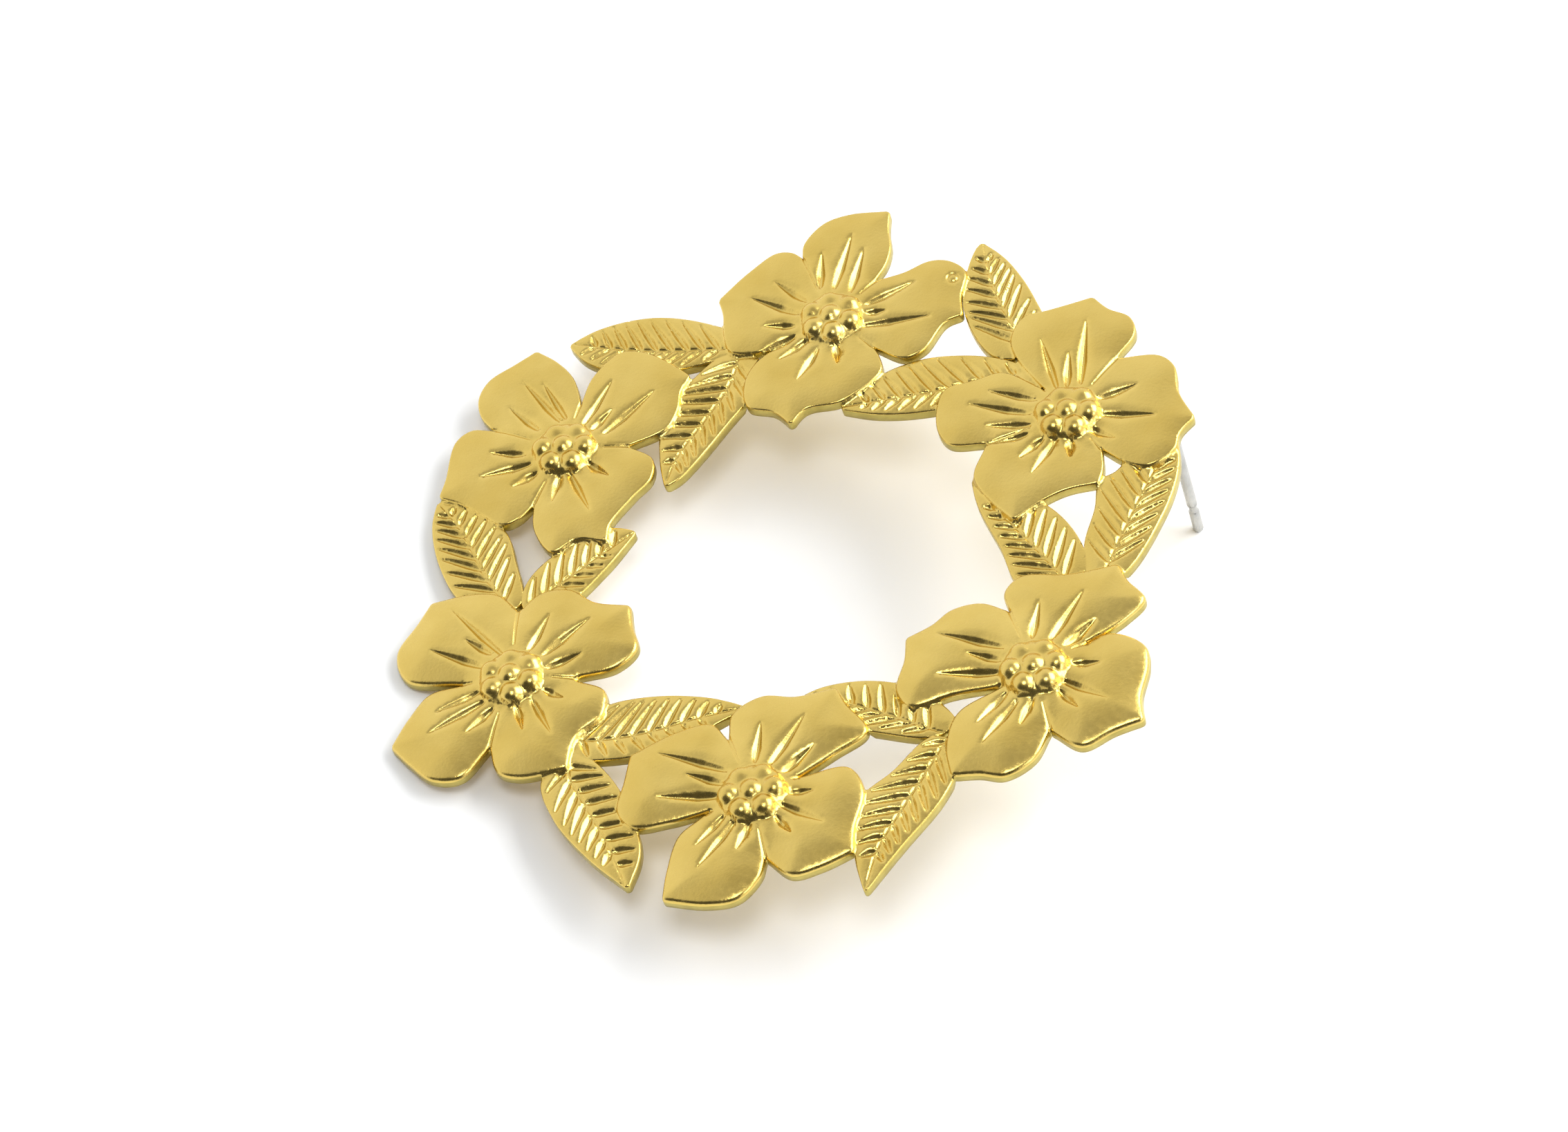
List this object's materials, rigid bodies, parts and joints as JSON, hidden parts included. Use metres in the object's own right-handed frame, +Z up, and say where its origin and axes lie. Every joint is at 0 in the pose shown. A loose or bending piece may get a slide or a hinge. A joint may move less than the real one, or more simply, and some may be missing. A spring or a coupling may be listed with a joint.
{
  "type": "floral wreath ear stud",
  "caption": "Open ring of pressed flowers and leaves in gold-coloured brass sheet, with a straight steel ear post soldered square to its back.",
  "frame": {"origin": "on the table, under the middle of the stud's bounding box, as the stud lies face up on its post", "axes": "+Z up from the table and out of the front; +Y towards the top flower, seen from in front; +X towards the side that the post holds up"},
  "size_m": [0.0542, 0.057, 0.0133],
  "materials": {
    "brass_sheet": "satin, pale gold",
    "post_steel": "satin",
    "solder": "dull grey, as melted"
  },
  "bodies": {
    "root": {"wreath": "brass_sheet", "ear_post": "post_steel", "solder_fillet": "solder"}
  },
  "joints": []
}
